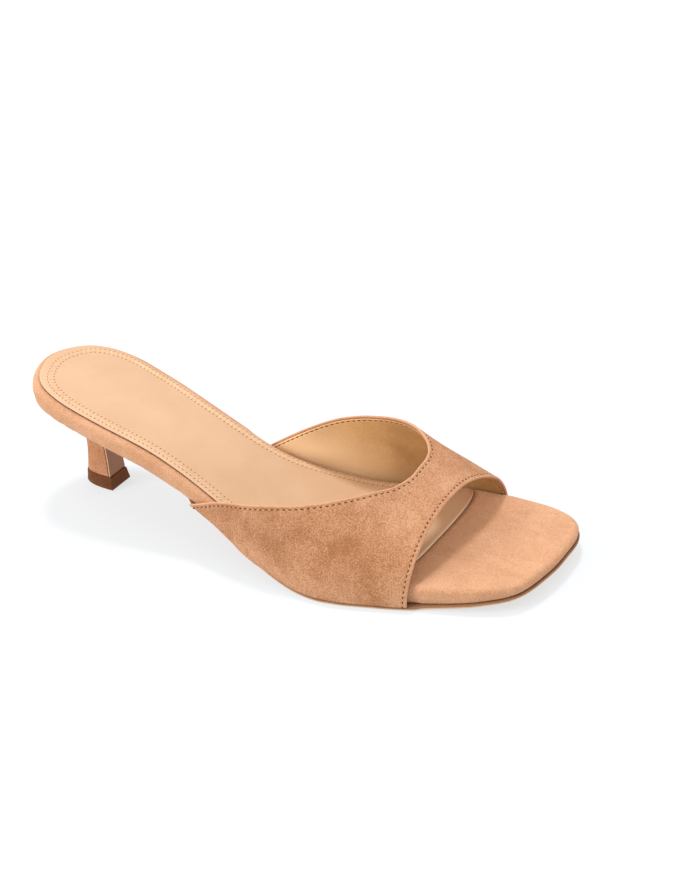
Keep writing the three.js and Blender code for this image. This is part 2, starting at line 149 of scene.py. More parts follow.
# Soft hollows (depth above 0) and ridges of the vamp, placed one by one: along in millimetres,
# around as a share of the section, length and width in millimetres, turn in degrees from X
VAMP_FOLDS = table("along around length width depth turn", [
    (98, 0.0, 10, 7, 0.6, 0),
    (118, 0.055, 17, 5, 1.0, 28),
    (134, 0.11, 24, 6, -0.6, 35),
    (142, 0.07, 22, 7, 0.8, 40),
    (165, 0.16, 26, 9, 0.7, 55),
    (184, 0.3, 14, 7, 0.5, 80),
    (186, 0.55, 12, 8, -0.4, 95),
    (150, 0.9, 22, 7, 0.7, -35),
    (122, 0.95, 15, 5, 0.8, -30),
    (176, 0.74, 20, 8, 0.5, -60),
    (99, 1.0, 10, 7, 0.6, 0),
])

# Paler and darker patches of the vamp's colour, placed in the same way: paler above 0 and darker
# below it
VAMP_PATCHES = table("along around length width pale", [
    (170, 0.165, 13, 8, -0.9), (181, 0.11, 7, 8, -0.5), (124, 0.074, 10, 4, -0.8),
    (137, 0.085, 9, 4, -0.6), (154, 0.03, 14, 4, 0.9), (138, 0.03, 9, 3.5, 0.8),
    (185, 0.3, 10, 8, 0.8), (190, 0.08, 5, 8, 0.6), (188, 0.46, 8, 12, 0.3),
    (153, 0.2, 9, 6, 0.2), (184, 0.72, 9, 8, 0.5), (168, 0.85, 14, 8, -0.6),
    (130, 0.92, 10, 5, -0.5), (150, 0.96, 14, 5, 0.6),
])

# Small pulls of the suede round the footbed's side, by place round the outline (in rows of
# the outline table, lateral side first): half length and depth in millimetres
WALL_PULLS = table("place length depth", [
    (1.6, 2.6, 0.2), (2.6, 2.2, 0.3), (3.1, 1.4, 0.5), (3.45, 1.2, 0.4), (3.95, 2.0, 0.35),
    (4.7, 1.6, 0.3), (5.35, 2.2, 0.4), (22.4, 1.9, 0.3), (23.2, 1.5, 0.4), (24.3, 1.7, 0.4),
    (25.1, 1.6, 0.35), (26.2, 2.2, 0.2),
])

LAST_ROW = len(OUTLINE["along"]) - 1
LOOP_ROWS = 2 * LAST_ROW
LOOP = np.concatenate([
    np.column_stack([OUTLINE["along"] * SHOE_LENGTH, OUTLINE["lateral"] * BALL_WIDTH]),
    np.column_stack([OUTLINE["along"] * SHOE_LENGTH, OUTLINE["medial"] * BALL_WIDTH])[-2:0:-1],
])


def through(rows, key, column):
    """Smooth curve through a table's rows that never overshoots between two rows."""
    x, y = rows[key], rows[column]
    rate = np.diff(y) / np.diff(x)
    before, after = rate[:-1], rate[1:]
    total = np.where(before * after > 0, before + after, 1)
    inner = np.where(before * after > 0, 2 * before * after / total, 0)
    slope = np.concatenate([rate[:1], inner, rate[-1:]])

    def curve(at):
        place = np.clip(at, x[0], x[-1])
        i = np.clip(np.searchsorted(x, place, side="right") - 1, 0, len(x) - 2)
        width = x[i + 1] - x[i]
        t = (place - x[i]) / width
        blend = t * t * (3 - 2 * t)
        bend = slope[i] * t * (1 - t) ** 2 - slope[i + 1] * t * t * (1 - t)
        return y[i] + (y[i + 1] - y[i]) * blend + bend * width

    return curve


def mix(a, b, share):
    return a + (b - a) * share


def outline(place, inset=0.0):
    """Points of the outline at a place counted in table rows round the loop, moved inwards."""
    place = np.asarray(place, float)
    start = np.floor(place).astype(int)
    t = (place - start)[..., None]
    a, b, c, d = (LOOP[(start + step) % LOOP_ROWS] for step in (-1, 0, 1, 2))
    bend, twist = 2 * a - 5 * b + 4 * c - d, 3 * b - a - 3 * c + d
    point = 0.5 * (2 * b + (c - a) * t + bend * t**2 + twist * t**3)
    tangent = c - a + 2 * bend * t + 3 * twist * t**2
    tangent /= np.linalg.norm(tangent, axis=-1, keepdims=True)
    inward = np.stack([-tangent[..., 1], tangent[..., 0]], axis=-1)
    return point + inward * np.asarray(inset, float)[..., None]


FINE_STEPS = 2800
FINE_PLACES = np.linspace(0, LAST_ROW, FINE_STEPS + 1)
LATERAL_LINE = outline(FINE_PLACES)
MEDIAL_LINE = outline((LOOP_ROWS - FINE_PLACES) % LOOP_ROWS)


def place_at(x):
    return np.interp(x, LATERAL_LINE[:, 0], FINE_PLACES)


def lateral_at(x):
    return np.interp(x, LATERAL_LINE[:, 0], LATERAL_LINE[:, 1])


def medial_at(x):
    return np.interp(x, MEDIAL_LINE[:, 0], MEDIAL_LINE[:, 1])


def along_shoe(column):
    curve = through(PROFILE, "along", column)
    return lambda x: curve(x / SHOE_LENGTH)


rise, spring, wall, tuck, reach = map(along_shoe, ("rise", "spring", "wall", "tuck", "reach"))


def outsole_under(x):
    return HEEL_HEIGHT * rise(x) + TOE_SPRING * spring(x)


def outsole_top(x):
    return outsole_under(x) + OUTSOLE_THICKNESS


def footbed_under(x):
    return outsole_top(x) + GAP


def footbed_top(x):
    return footbed_under(x) + FOOTBED_WALL * wall(x)


def sock_under(x):
    return footbed_top(x) + GAP


def sock_top(x):
    return sock_under(x) + SOCK_THICKNESS


# The frame's origin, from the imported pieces: the heel tip lies across Y = 0 of the shoe and
# the footbed's back is at X = 0
tip_low, tip_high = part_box("heel_tip")
footbed_low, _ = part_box("footbed")
SHIFT = np.array([footbed_low[0], (tip_low[1] + tip_high[1]) / 2, 0.0])


def to_frame(points):
    return np.asarray(points, float) * MM + SHIFT


# Meshes. Points nearer than the weld distance are joined, and it is in metres, as the shortest
# edge is. A tangent is taken over its reach in millimetres to both sides.

WELD_DISTANCE = 2e-6
SHORTEST_EDGE = 1e-7
TANGENT_REACH = 0.3
BEAD_SIDES = 6
BEAD_RINGS = 5


def grid_faces(rows, columns, first, wrap):
    """Quads of a grid of points, joined round its columns where wrap is true."""
    index = np.arange(rows * columns).reshape(rows, columns) + first
    if wrap:
        index = np.concatenate([index, index[:, :1]], axis=1)
    corners = (index[:-1, :-1], index[:-1, 1:], index[1:, 1:], index[1:, :-1])
    return np.stack([corner.ravel() for corner in corners], axis=1)


def make_piece(name, grids, materials, sharp, replaces=None):
    """One object from grids of points: (points, wrap, material index), then any tone and nap."""
    vertices, faces, indices, shades, first = [], [], [], [], 0
    for points, wrap, material_index, *given in grids:
        rows, columns = points.shape[:2]
        quads = grid_faces(rows, columns, first, wrap)
        vertices.append(points.reshape(-1, 3))
        faces.append(quads)
        indices.append(np.full(len(quads), material_index))
        tone_and_nap = (*given, 0.0, 0.0)[:2]
        shades.append([np.broadcast_to(values, (rows, columns)).ravel() for values in tone_and_nap])
        first += rows * columns
    mesh = bpy.data.meshes.new(name)
    corners = np.concatenate(faces).tolist()
    mesh.from_pydata(to_frame(np.concatenate(vertices)).tolist(), [], corners)
    mesh.polygons.foreach_set("material_index", np.concatenate(indices).astype(np.int32))
    for label, values in zip(("tone", "nap"), np.concatenate(shades, axis=1)):
        layer = mesh.attributes.new(label, "FLOAT", "POINT")
        layer.data.foreach_set("value", values.astype(np.float32))
    work = bmesh.new()
    work.from_mesh(mesh)
    bmesh.ops.remove_doubles(work, verts=work.verts, dist=WELD_DISTANCE)
    bmesh.ops.dissolve_degenerate(work, edges=work.edges, dist=SHORTEST_EDGE)
    bmesh.ops.recalc_face_normals(work, faces=work.faces)
    work.to_mesh(mesh)
    work.free()
    for item in materials:
        mesh.materials.append(item)
    mesh.shade_smooth()
    mesh.set_sharp_from_angle(angle=np.radians(sharp))
    piece = bpy.data.objects.new(name, mesh)
    bpy.context.scene.collection.objects.link(piece)
    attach(piece, "root")
    if replaces:
        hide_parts(replaces)


def facing_lines(ring, strips):
    """Lines across a closed ring, from its point i to its point count - i."""
    half = len(ring) // 2
    share = np.linspace(0, 1, strips + 1)[None, :, None]
    near, far = ring[: half + 1], ring[-np.arange(half + 1)]
    return near[:, None] * (1 - share) + far[:, None] * share


def at_height(points, height):
    """Flat points raised to a height, one for all of them or one for each."""
    heights = np.broadcast_to(height, points.shape[:-1])
    return np.concatenate([points, heights[..., None]], axis=-1)


def slab(loop, side, under, over, floor_strips, lid_strips):
    """Rings up the side of a flat piece, then its floor and its lid.

    loop(inset, up) gives the closed outline, which may change on the way up.
    """
    rings = []
    for row in each_row(side):
        ring = loop(row["inset"], row["up"])
        rings.append(at_height(ring, mix(under(ring[:, 0]), over(ring[:, 0]), row["up"])))
    floor = facing_lines(rings[0][:, :2], floor_strips)
    lid = facing_lines(rings[-1][:, :2], lid_strips)
    return [
        np.array(rings),
        at_height(floor, under(floor[..., 0])),
        at_height(lid, over(lid[..., 0])),
    ]


def evenly(line, normals, pitch, lead=0.5):
    """Points at equal steps along a line, with the unit tangent and normal at each."""
    step = np.linalg.norm(np.diff(line, axis=0), axis=1)
    run = np.concatenate([[0], np.cumsum(step)])
    count = int(run[-1] / pitch)
    at = (np.arange(count) + lead) * run[-1] / count

    def along(values, places):
        return np.stack([np.interp(places, run, values[:, k]) for k in range(3)], axis=1)

    def unit(values):
        return values / np.linalg.norm(values, axis=1, keepdims=True)

    tangents = unit(along(line, at + TANGENT_REACH) - along(line, at - TANGENT_REACH))
    return along(line, at), tangents, unit(along(normals, at))


def beads(points, tangents, normals, half_length, half_width, half_height):
    """Grids of small long beads lying along tangents, one for each point."""
    across = np.cross(normals, tangents)
    across /= np.linalg.norm(across, axis=1, keepdims=True)
    upright = np.cross(tangents, across)
    lean = np.linspace(-np.pi / 2, np.pi / 2, BEAD_RINGS)
    turn = np.linspace(0, 2 * np.pi, BEAD_SIDES, endpoint=False)
    grids = []
    for point, along, side, up in zip(points, tangents, across, upright):
        middle = point + np.sin(lean)[:, None] * along * half_length
        girth = np.cos(lean)[:, None, None]
        circle = np.cos(turn)[None, :, None] * side * half_width
        circle = circle + np.sin(turn)[None, :, None] * up * half_height
        grids.append((middle[:, None] + girth * circle, True, 0))
    return grids


# Materials

def srgb(red, green, blue):
    """Scene colour from a colour as it is seen, 0 to 255."""
    shares = np.array([red, green, blue]) / 255
    linear = np.where(shares <= 0.04045, shares / 12.92, ((shares + 0.055) / 1.055) ** 2.4)
    return (*linear.tolist(), 1.0)


class Finish:
    """A material under construction: one principled shader and the textures that feed it."""

    def __init__(self, name, roughness, specular=0.5):
        self.material = bpy.data.materials.new(name)
        self.material.use_nodes = True
        self.nodes = self.material.node_tree.nodes
        self.links = self.material.node_tree.links
        self.shader = self.nodes["Principled BSDF"]
        self.shader.inputs["Roughness"].default_value = roughness
        self.shader.inputs["Specular IOR Level"].default_value = specular
        self.place = self.nodes.new("ShaderNodeTexCoord").outputs["Object"]

    def feed(self, socket, source):
        if hasattr(source, "is_output"):
            self.links.new(source, socket)
        else:
            socket.default_value = source

    def stretched(self, scale):
        node = self.nodes.new("ShaderNodeMapping")
        node.inputs["Scale"].default_value = scale
        self.links.new(self.place, node.inputs["Vector"])
        return node.outputs["Vector"]

    def noise(self, size, detail=3, rough=0.5, stretch=None, warp=0.0):
        """Smooth noise from 0 to 1, with patches of about the size given in millimetres."""
        node = self.nodes.new("ShaderNodeTexNoise")
        self.feed(node.inputs["Vector"], self.stretched(stretch) if stretch else self.place)
        node.inputs["Scale"].default_value = 1 / (size * MM)
        node.inputs["Detail"].default_value = detail
        node.inputs["Roughness"].default_value = rough
        node.inputs["Distortion"].default_value = warp
        return node.outputs["Fac"]

    def cells(self, size):
        """Distance from the middles of small cells, with the size given in millimetres."""
        node = self.nodes.new("ShaderNodeTexVoronoi")
        node.feature = "F1"
        self.links.new(self.place, node.inputs["Vector"])
        node.inputs["Scale"].default_value = 1 / (size * MM)
        return node.outputs["Distance"]

    def math(self, operation, first, second):
        node = self.nodes.new("ShaderNodeMath")
        node.operation = operation
        self.feed(node.inputs[0], first)
        self.feed(node.inputs[1], second)
        return node.outputs[0]

    def blend(self, shares):
        """Weighted sum of textures, from (texture, weight) pairs."""
        total = 0.0
        for texture, weight in shares:
            total = self.math("ADD", self.math("MULTIPLY", texture, weight), total)
        return total

    def ramp(self, source, stops):
        """Colours along a texture, from (place, colour) pairs."""
        node = self.nodes.new("ShaderNodeValToRGB")
        points = node.color_ramp.elements
        while len(points) < len(stops):
            points.new(0.5)
        for point, (place, colour) in zip(points, stops):
            point.position = place
            point.color = colour
        self.feed(node.inputs["Fac"], source)
        return node.outputs["Color"]

    def mixed(self, share, first, second):
        node = self.nodes.new("ShaderNodeMix")
        node.data_type = "RGBA"
        self.feed(node.inputs["Factor"], share)
        self.feed(node.inputs["A"], first)
        self.feed(node.inputs["B"], second)
        return next(socket for socket in node.outputs if socket.type == "RGBA")

    def shade(self, label):
        """A value of the mesh's points: tone is 1 on a raw or turned edge, and also marks painted
        light on the lining's lower back and a painted highlight at the sock's front; nap above 0 if
        pale.
        """
        node = self.nodes.new("ShaderNodeAttribute")
        node.attribute_name = label
        return node.outputs["Fac"]

    def bumps(self, layers):
        """Relief from (texture, height in millimetres) pairs."""
        normal = None
        for texture, height in layers:
            node = self.nodes.new("ShaderNodeBump")
            node.inputs["Distance"].default_value = height * MM
            node.inputs["Strength"].default_value = 1.0
            self.links.new(texture, node.inputs["Height"])
            if normal:
                self.links.new(normal, node.inputs["Normal"])
            normal = node.outputs["Normal"]
        self.links.new(normal, self.shader.inputs["Normal"])

    def colour(self, source):
        self.feed(self.shader.inputs["Base Color"], source)

    def sheen(self, weight, roughness, tint):
        self.shader.inputs["Sheen Weight"].default_value = weight
        self.shader.inputs["Sheen Roughness"].default_value = roughness
        self.shader.inputs["Sheen Tint"].default_value = tint


# Shares of the textures that make up the suede's mottling, and how far red, green and blue
# follow its contrast where it is pale
PATCH_SHARE = 0.26
STREAK_SHARE = 0.14
SPECK_SHARE = 0.6
PATCH_TONE_SHARE = 0.05
PALE_SHARES = (0.75, 0.9, 1.0)
SUEDE_SHEEN = (255, 226, 200)


def suede(name, middle, edge, patch_size, contrast, streak_along=(1, 1, 0.65)):
    """Brushed suede: soft patches, streaks of the nap, fine specks and a paler turned edge."""
    finish = Finish(name, roughness=0.95, specular=0.15)
    patches = finish.noise(patch_size, detail=2.5, warp=0.6)
    streaks = finish.noise(3.0, detail=3, rough=0.6, stretch=streak_along, warp=0.5)
    specks = finish.noise(0.55, detail=2, rough=0.7)
    listed_patches = finish.shade("nap")
    pile = finish.blend([(patches, PATCH_SHARE), (streaks, STREAK_SHARE), (specks, SPECK_SHARE),
                         (listed_patches, PATCH_TONE_SHARE)])
    deep = [value - contrast for value in middle]
    pale = [value + contrast * share for value, share in zip(middle, PALE_SHARES)]
    body = finish.ramp(pile, [(0.39, srgb(*deep)), (0.5, srgb(*middle)), (0.61, srgb(*pale))])
    finish.colour(finish.mixed(finish.shade("tone"), body, srgb(*edge)))
    finish.bumps([(finish.noise(2.4, detail=2), 0.3), (specks, 0.35)])
    finish.sheen(weight=0.18, roughness=0.5, tint=srgb(*SUEDE_SHEEN))
    return finish.material


def smooth_leather(name, deep, pale, edge, roughness, grain, coat):
    """Fine smooth leather with small pores, a faint cloudy tint and a raw edge tint, also used for
    painted light and a painted highlight.
    """
    finish = Finish(name, roughness=roughness, specular=0.4)
    clouds = finish.noise(26, detail=3, warp=0.3)
    pores = finish.cells(0.62)
    grains = finish.noise(0.9, detail=3, rough=0.6)
    tint = finish.blend([(clouds, 0.7), (grains, 0.3)])
    body = finish.ramp(tint, [(0.36, srgb(*deep)), (0.66, srgb(*pale))])
    finish.colour(finish.mixed(finish.shade("tone"), body, srgb(*edge)))
    finish.bumps([(grains, grain), (pores, grain * 0.6)])
    finish.shader.inputs["Coat Weight"].default_value = coat
    finish.shader.inputs["Coat Roughness"].default_value = 0.35
    return finish.material


def plain_grain(name, deep, pale, roughness, size, relief, specular=0.35):
    """Rubber, thread, pale edge dressing and dark painted shade: two close tints and a fine relief,
    in millimetres.
    """
    finish = Finish(name, roughness=roughness, specular=specular)
    grains = finish.noise(size, detail=3, rough=0.6)
    broad = finish.noise(size * 9, detail=2)
    tint = finish.blend([(grains, 0.5), (broad, 0.5)])
    finish.colour(finish.ramp(tint, [(0.38, srgb(*deep)), (0.62, srgb(*pale))]))
    finish.bumps([(grains, relief)])
    return finish.material


# Suedes: middle tint, turned edge, size of the patches in millimetres and contrast
upper_suede = suede("upper_suede", (179, 128, 93), (212, 163, 130), 15, 27)
footbed_suede = suede("footbed_suede", (197, 148, 114), (210, 160, 126), 17, 15, (0.3, 1, 1))
heel_suede = suede("heel_suede", (178, 122, 86), (196, 142, 106), 9, 20)

# Leathers: deep tint, pale tint, raw edge (also painted light on the lining's lower back and a
# painted highlight at the sock's front), roughness, height of the grain and coat
sock_leather = smooth_leather(
    "sock_leather", (189, 150, 115), (198, 160, 126), (226, 194, 162), 0.52, 0.03, 0.06)
lining_leather = smooth_leather(
    "lining_leather", (172, 131, 84), (212, 170, 118), (238, 203, 160), 0.5, 0.08, 0.08)
cover_leather = smooth_leather(
    "cover_leather", (132, 89, 57), (149, 101, 66), (228, 188, 154), 0.5, 0.03, 0.06)

# Edges, dark painted shade, rubber and thread: deep tint, pale tint, roughness, size and height of
# the grain
# Painted shade: the sock's dark side stands in for the shadow of the gap over the footbed
sock_side_shade = plain_grain("sock_side_shade", (104, 62, 38), (128, 80, 50), 0.8, 0.5, 0.03)
# Painted shade: the dark band on the cover's sides and ends stands in for the shadow of the gap
# beside the heel
cover_gap_shade = plain_grain("cover_gap_shade", (88, 50, 30), (110, 66, 42), 0.8, 0.5, 0.03)
cover_trim = plain_grain("cover_trim", (212, 168, 134), (226, 186, 152), 0.7, 0.8, 0.01)
outsole_edge = plain_grain("outsole_edge", (196, 158, 124), (214, 178, 144), 0.6, 0.8, 0.05)
outsole_base = plain_grain("outsole_under", (168, 124, 92), (186, 142, 108), 0.62, 1.1, 0.08)
tip_rubber = plain_grain("tip_rubber", (92, 51, 24), (114, 66, 34), 0.6, 0.6, 0.05, specular=0.15)
# Painted shade: the outsole's dark top band stands in for the shadow of the gap under the footbed
outsole_top_shade = plain_grain("outsole_top_shade", (132, 92, 64), (154, 112, 82), 0.7, 0.8, 0.05)
upper_thread = plain_grain("upper_thread", (196, 142, 106), (214, 162, 126), 0.7, 0.3, 0.04)
sock_thread = plain_grain("sock_thread", (210, 172, 134), (230, 195, 156), 0.7, 0.3, 0.04)
# Painted shade: dark beads stand in for the shade in the sock's stitch holes
sock_hole_shade = plain_grain("sock_hole_shade", (118, 76, 44), (146, 98, 62), 0.9, 0.4, 0.02)
# Painted shade: dark beads stand in for the shade in the vamp's stitch holes
stitch_hole_shade = plain_grain("stitch_hole_shade", (84, 44, 24), (108, 62, 38), 0.9, 0.4, 0.02)


# Footbed, padded and wrapped in suede, with small pulls where the suede turns under

WALL_STEPS = 24
ALL_PLACES = np.arange(LOOP_ROWS * WALL_STEPS) / WALL_STEPS
PULL_HEIGHT = 0.22
PULL_SPREAD = 0.26


def wall_pulls(places, up):
    """How far the footbed's side is drawn in at each place, most near its lower edge."""
    plain = outline(places)
    step = np.linalg.norm(plain - np.roll(plain, -1, axis=0), axis=1)
    run = np.cumsum(step)
    depth = np.zeros(len(places))
    for pull in each_row(WALL_PULLS):
        away = np.abs(run - np.interp(pull["place"], places, run))
        away = np.minimum(away, run[-1] - away)
        depth += pull["depth"] * np.exp(-((away / pull["length"]) ** 2))
    return depth * np.exp(-(((up - PULL_HEIGHT) / PULL_SPREAD) ** 2))


def footbed_loop(inset, up):
    edge = outline(ALL_PLACES)
    tucked = inset + FOOTBED_TUCK * tuck(edge[:, 0])
    return outline(ALL_PLACES, tucked + wall_pulls(ALL_PLACES, up))


footbed_rings, footbed_floor, footbed_lid = slab(
    footbed_loop, FOOTBED_SIDE, footbed_under, footbed_top, floor_strips=30, lid_strips=60)
make_piece("footbed_wrap", [
    (footbed_rings, True, 0),
    (footbed_floor, False, 0),
    (footbed_lid, False, 0),
], [footbed_suede], replaces="footbed", sharp=75)


# Sock, a sheet of smooth leather with a raw edge and a round end under the vamp, its side painted
# dark as the shade of the gap over the footbed

SOCK_LAST_PLACE = place_at(SOCK_LENGTH - SOCK_END_ROUND)
SOCK_SIDE_POINTS = 280
SOCK_END_POINTS = 121
SOCK_FACE_ROW = 2
# Reach and fade of the painted highlight that strengthens the sock's pale raw edge towards its
# round end, and the share of raw edge kept at the rear
RAW_HIGHLIGHT_LENGTH = 24
RAW_HIGHLIGHT_FADE = 12
RAW_REAR = 0.25


def sock_loop(inset, up):
    places = np.linspace(0, SOCK_LAST_PLACE, SOCK_SIDE_POINTS)
    lateral = outline(places, SOCK_INSET + inset)
    medial = outline((LOOP_ROWS - places) % LOOP_ROWS, SOCK_INSET + inset)
    middle = (lateral[-1, 1] + medial[-1, 1]) / 2
    half = (medial[-1, 1] - lateral[-1, 1]) / 2
    angle = np.linspace(0, np.pi, SOCK_END_POINTS)[1:-1]
    swing = np.abs(np.cos(angle)) ** (2 / SOCK_END_FULLNESS) * np.sign(np.cos(angle))
    reach_out = np.sin(angle) ** (2 / SOCK_END_FULLNESS)
    base_x = mix(lateral[-1, 0], medial[-1, 0], (1 - swing) / 2)
    end_x = mix(base_x, SOCK_LENGTH - inset, reach_out)
    end = np.column_stack([end_x, middle - half * swing])
    return np.concatenate([lateral, end, medial[:0:-1]])


sock_rings, sock_floor, sock_lid = slab(
    sock_loop, SOCK_SIDE, sock_under, sock_top, floor_strips=48, lid_strips=48)
sock_face = sock_rings[SOCK_FACE_ROW:]
# Pale raw edge on the sock's rounded top: real raw leather, strengthened towards the round end as a
# painted highlight
front_share = np.clip((sock_face[..., 0] - SOCK_LENGTH + RAW_HIGHLIGHT_LENGTH) / RAW_HIGHLIGHT_FADE, 0, 1)
raw = SOCK_SIDE["raw"][SOCK_FACE_ROW:, None] * mix(RAW_REAR, 1, front_share)
# The sock's side and floor take the dark painted shade
make_piece("sock_sheet", [
    (sock_rings[:SOCK_FACE_ROW + 1], True, 1),
    (sock_face, True, 0, raw),
    (sock_floor, False, 1),
    (sock_lid, False, 0),
], [sock_leather, sock_side_shade], replaces="sock", sharp=60)


# Vamp: a suede sheet over a leather lining, both on the last

crown_height = through(CROWN, "along", "height")
crown_across = through(CROWN, "along", "across")
topline = through(TOPLINE, "around", "along")
front_edge = through(FRONT_EDGE, "around", "along")
PROBE = 0.002
LEVEL_SHARE = 0.01
AROUND_STEPS = 3000
VAMP_COLUMNS = 380
EDGE_ROUND_POINTS = 6
EDGE_ROWS = np.array([0.3, 0.6, 0.85, 1.05, 1.2, 1.33, 1.45, 1.6, 1.8, 2.1, 2.6, 3.3])


def vamp_point(x, around):
    """Point on the vamp's outer face, around running from the lateral to the medial sole line."""
    lateral = around < 0.5
    angle = np.pi * around
    fullness = np.where(lateral, LATERAL_FULLNESS, MEDIAL_FULLNESS)
    face = GAP + UPPER_WALL
    side = np.where(lateral, lateral_at(x) - face, medial_at(x) + face)
    crown = crown_across(x / SHOE_LENGTH) * BALL_WIDTH
    out = np.abs(np.cos(angle)) ** (2 / fullness)
    up = np.clip(np.sin(angle), 0, 1) ** (2 / fullness)
    height = INSTEP_HEIGHT * crown_height(x / SHOE_LENGTH)
    return np.stack([x, mix(crown, side, out), footbed_under(x) + height * up], axis=-1)


def vamp_across(x, around):
    """Short way round the section at a point."""
    low, high = np.maximum(around - PROBE, 0), np.minimum(around + PROBE, 1)
    return vamp_point(x, high) - vamp_point(x, low)


def vamp_girth(x, around):
    """Millimetres round the section for each unit of around, at one point."""
    return np.linalg.norm(vamp_across(x, around), axis=-1) / (2 * PROBE)


def vamp_normal(x, around):
    """Outward direction, turned level at the sole line."""
    longway = vamp_point(x + 1, around) - vamp_point(x - 1, around)
    normal = np.cross(longway, vamp_across(x, around))
    normal /= np.linalg.norm(normal, axis=-1, keepdims=True)
    normal[..., 2] *= np.clip(np.minimum(around, 1 - around) / LEVEL_SHARE, 0, 1)
    return normal / np.linalg.norm(normal, axis=-1, keepdims=True)


def vamp_folds(x, around):
    """Height of the soft folds over the smooth vamp."""
    girth = vamp_girth(x, around)
    height = np.zeros(np.broadcast(x, around).shape)
    for fold in each_row(VAMP_FOLDS):
        ahead, aside = x - fold["along"], (around - fold["around"]) * girth
        turn = np.radians(fold["turn"])
        lengthwise = ahead * np.cos(turn) + aside * np.sin(turn)
        crosswise = aside * np.cos(turn) - ahead * np.sin(turn)
        reach_share = (lengthwise / fold["length"]) ** 2 + (crosswise / fold["width"]) ** 2
        height -= fold["depth"] * np.exp(-reach_share)
    return height


def vamp_patches(x, around):
    """How pale the listed patches make the vamp's colour, from -1 to 1."""
    girth = vamp_girth(x, around)
    nap = np.zeros(np.broadcast(x, around).shape)
    for patch in each_row(VAMP_PATCHES):
        ahead, aside = x - patch["along"], (around - patch["around"]) * girth
        away = (ahead / patch["length"]) ** 2 + (aside / patch["width"]) ** 2
        nap += patch["pale"] * np.exp(-away)
    return np.clip(nap, -1, 1)


def even_columns(count):
    """Places round the section, evenly spaced along the topline and the front edge."""
    around = np.linspace(0, 1, AROUND_STEPS + 1)
    run = np.zeros(len(around))
    for curve in (topline, front_edge):
        edge = vamp_point(SHOE_LENGTH * curve(around), around)
        step = np.linalg.norm(np.diff(edge, axis=0), axis=1)
        run += np.concatenate([[0], np.cumsum(step)]) / step.sum()
    return np.interp(np.linspace(0, 2, count), run, around)


AROUND = even_columns(VAMP_COLUMNS)


def edge_line(curve, inward):
    """Edge of the vamp in x, and the x travelled for each millimetre inward from the edge."""
    x = SHOE_LENGTH * curve(AROUND)
    edge = vamp_point(x, AROUND)
    tangent = np.gradient(edge, axis=0)
    tangent /= np.linalg.norm(tangent, axis=1, keepdims=True)
    longway = vamp_point(x + 0.5, AROUND) - vamp_point(x - 0.5, AROUND)
    return x, inward / np.linalg.norm(np.cross(longway, tangent), axis=1)


REAR_X, REAR_RATE = edge_line(topline, 1)
FRONT_X, FRONT_RATE = edge_line(front_edge, -1)


def vamp_at(inset, from_front, lift):
    """Line across the whole vamp, inset from an edge and lifted off its outer face."""
    edge_x, rate = (FRONT_X, FRONT_RATE) if from_front else (REAR_X, REAR_RATE)
    x = edge_x + inset * rate
    normal = vamp_normal(x, AROUND)
    return vamp_point(x, AROUND) + normal * (lift + vamp_folds(x, AROUND))[:, None], normal


# Stitch groove of the vamp, the puffed edge beside it and the pale rim of the sheets
STITCH_INSET = 1.65
STITCH_SINK = 0.16
STITCH_SPREAD = 0.42
PUFF_INSET = 0.8
PUFF_HEIGHT = 0.06
PUFF_SPREAD = 0.4
RIM_END = 0.9
RIM_FADE = 0.75
RIM_TONE = 0.62

# Painted light on the lining's lower back, a pale tint where the groove over the footbed is shaded:
# where it starts as a share of the section from the crown, and where it ends along the shoe
PAINTED_LIGHT_SHARE = 0.34
PAINTED_LIGHT_SHARE_FADE = 0.1
PAINTED_LIGHT_END = 165
PAINTED_LIGHT_END_FADE = 35


def vamp_sheet(depth, thickness, margin, middle_rows, groove_outside):
    """Grids of a sheet that lies depth under the vamp's face, its edges drawn in by margin."""
    radius = thickness / 2
    round_angle = np.linspace(0, np.pi / 2, EDGE_ROUND_POINTS)
    round_inset = margin + radius * (1 - np.cos(round_angle))
    insets = np.concatenate([round_inset, margin + radius + EDGE_ROWS])
    heights = np.concatenate([radius * (np.sin(round_angle) - 1), np.zeros(len(EDGE_ROWS))])
    rear = REAR_X + insets[:, None] * REAR_RATE
    front = FRONT_X + insets[:, None] * FRONT_RATE
    share = np.linspace(0, 1, middle_rows + 2)[1:-1, None]
    x = np.concatenate([rear, mix(rear[-1], front[-1], share), front[::-1]])
    around = np.broadcast_to(AROUND, x.shape)
    far = np.full(middle_rows, np.inf)
    inset = np.concatenate([insets, far, insets[::-1]])[:, None]
    height = np.concatenate([heights, np.zeros(middle_rows), heights[::-1]])[:, None]
    point, normal = vamp_point(x, around), vamp_normal(x, around)
    folds = vamp_folds(x, around)
    seam = STITCH_SINK * np.exp(-(((inset - STITCH_INSET) / STITCH_SPREAD) ** 2))
    puff = PUFF_HEIGHT * np.exp(-(((inset - PUFF_INSET) / PUFF_SPREAD) ** 2))
    relief = puff - seam if groove_outside else 0
    outer = point + normal * (folds + height - depth + relief)[..., None]
    inner_relief = 0 if groove_outside else seam
    inner = point + normal * (folds - height - depth - thickness + inner_relief)[..., None]
    rim = np.clip((RIM_END - inset) / RIM_FADE, 0, 1) * RIM_TONE
    tone = np.broadcast_to(rim, x.shape)
    if not groove_outside:
        # Painted light: the lining's lower back is mixed towards its pale edge tint
        low = np.clip((np.abs(around - 0.5) - PAINTED_LIGHT_SHARE) / PAINTED_LIGHT_SHARE_FADE, 0, 1)
        tone = np.maximum(tone, low * np.clip((PAINTED_LIGHT_END - x) / PAINTED_LIGHT_END_FADE, 0, 1))
    return [
        (outer, False, 0, tone, vamp_patches(x, around)),
        (inner, False, 0, tone),
        (np.stack([outer[:, 0], inner[:, 0]]), False, 0),
        (np.stack([outer[:, -1], inner[:, -1]]), False, 0),
    ]


